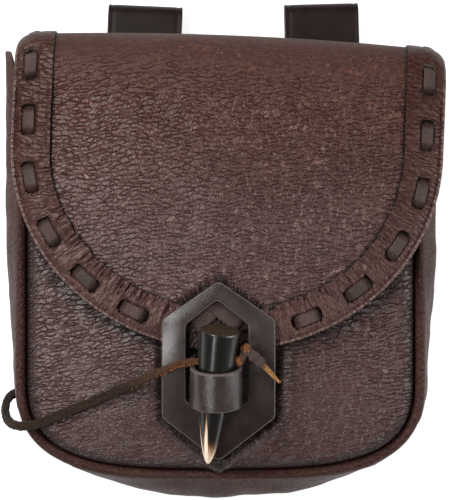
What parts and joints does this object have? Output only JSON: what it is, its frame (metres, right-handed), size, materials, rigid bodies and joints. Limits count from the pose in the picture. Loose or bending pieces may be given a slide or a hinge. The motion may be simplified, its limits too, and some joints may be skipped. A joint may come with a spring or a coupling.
{
  "type": "belt pouch",
  "caption": "Leather belt pouch with a boxed body, a laced flap, a six-sided clasp plate, a horn toggle in a keeper loop, and folded belt loops behind.",
  "frame": {"origin": "middle of the pouch's outline, on the surface that its back lies on", "axes": "+X to the right seen from the front, +Y up the pouch towards the belt loops, +Z out of the front"},
  "size_m": [0.1829, 0.2059, 0.0778],
  "materials": {
    "pebbled_leather": "pebbled grain, semi-matt",
    "smooth_leather": "smooth vegetable-tanned strap leather, satin",
    "lace_leather": "flat leather lace, satin",
    "suede": "rough suede thong",
    "horn": "polished dark horn with a cream tip"
  },
  "bodies": {
    "root": {"front_panel": "pebbled_leather", "back_panel": "pebbled_leather", "gusset": "pebbled_leather", "flap": "pebbled_leather", "flap_border": "pebbled_leather", "lace_left": "lace_leather", "lace_right": "lace_leather", "window_lace_left": "lace_leather", "window_lace_right": "lace_leather", "clasp_plate": "smooth_leather", "keeper_loop": "smooth_leather", "horn_toggle": "horn", "toggle_thong": "suede", "thong_knot": "suede", "belt_loop_left": "smooth_leather", "belt_loop_right": "smooth_leather"}
  },
  "joints": []
}
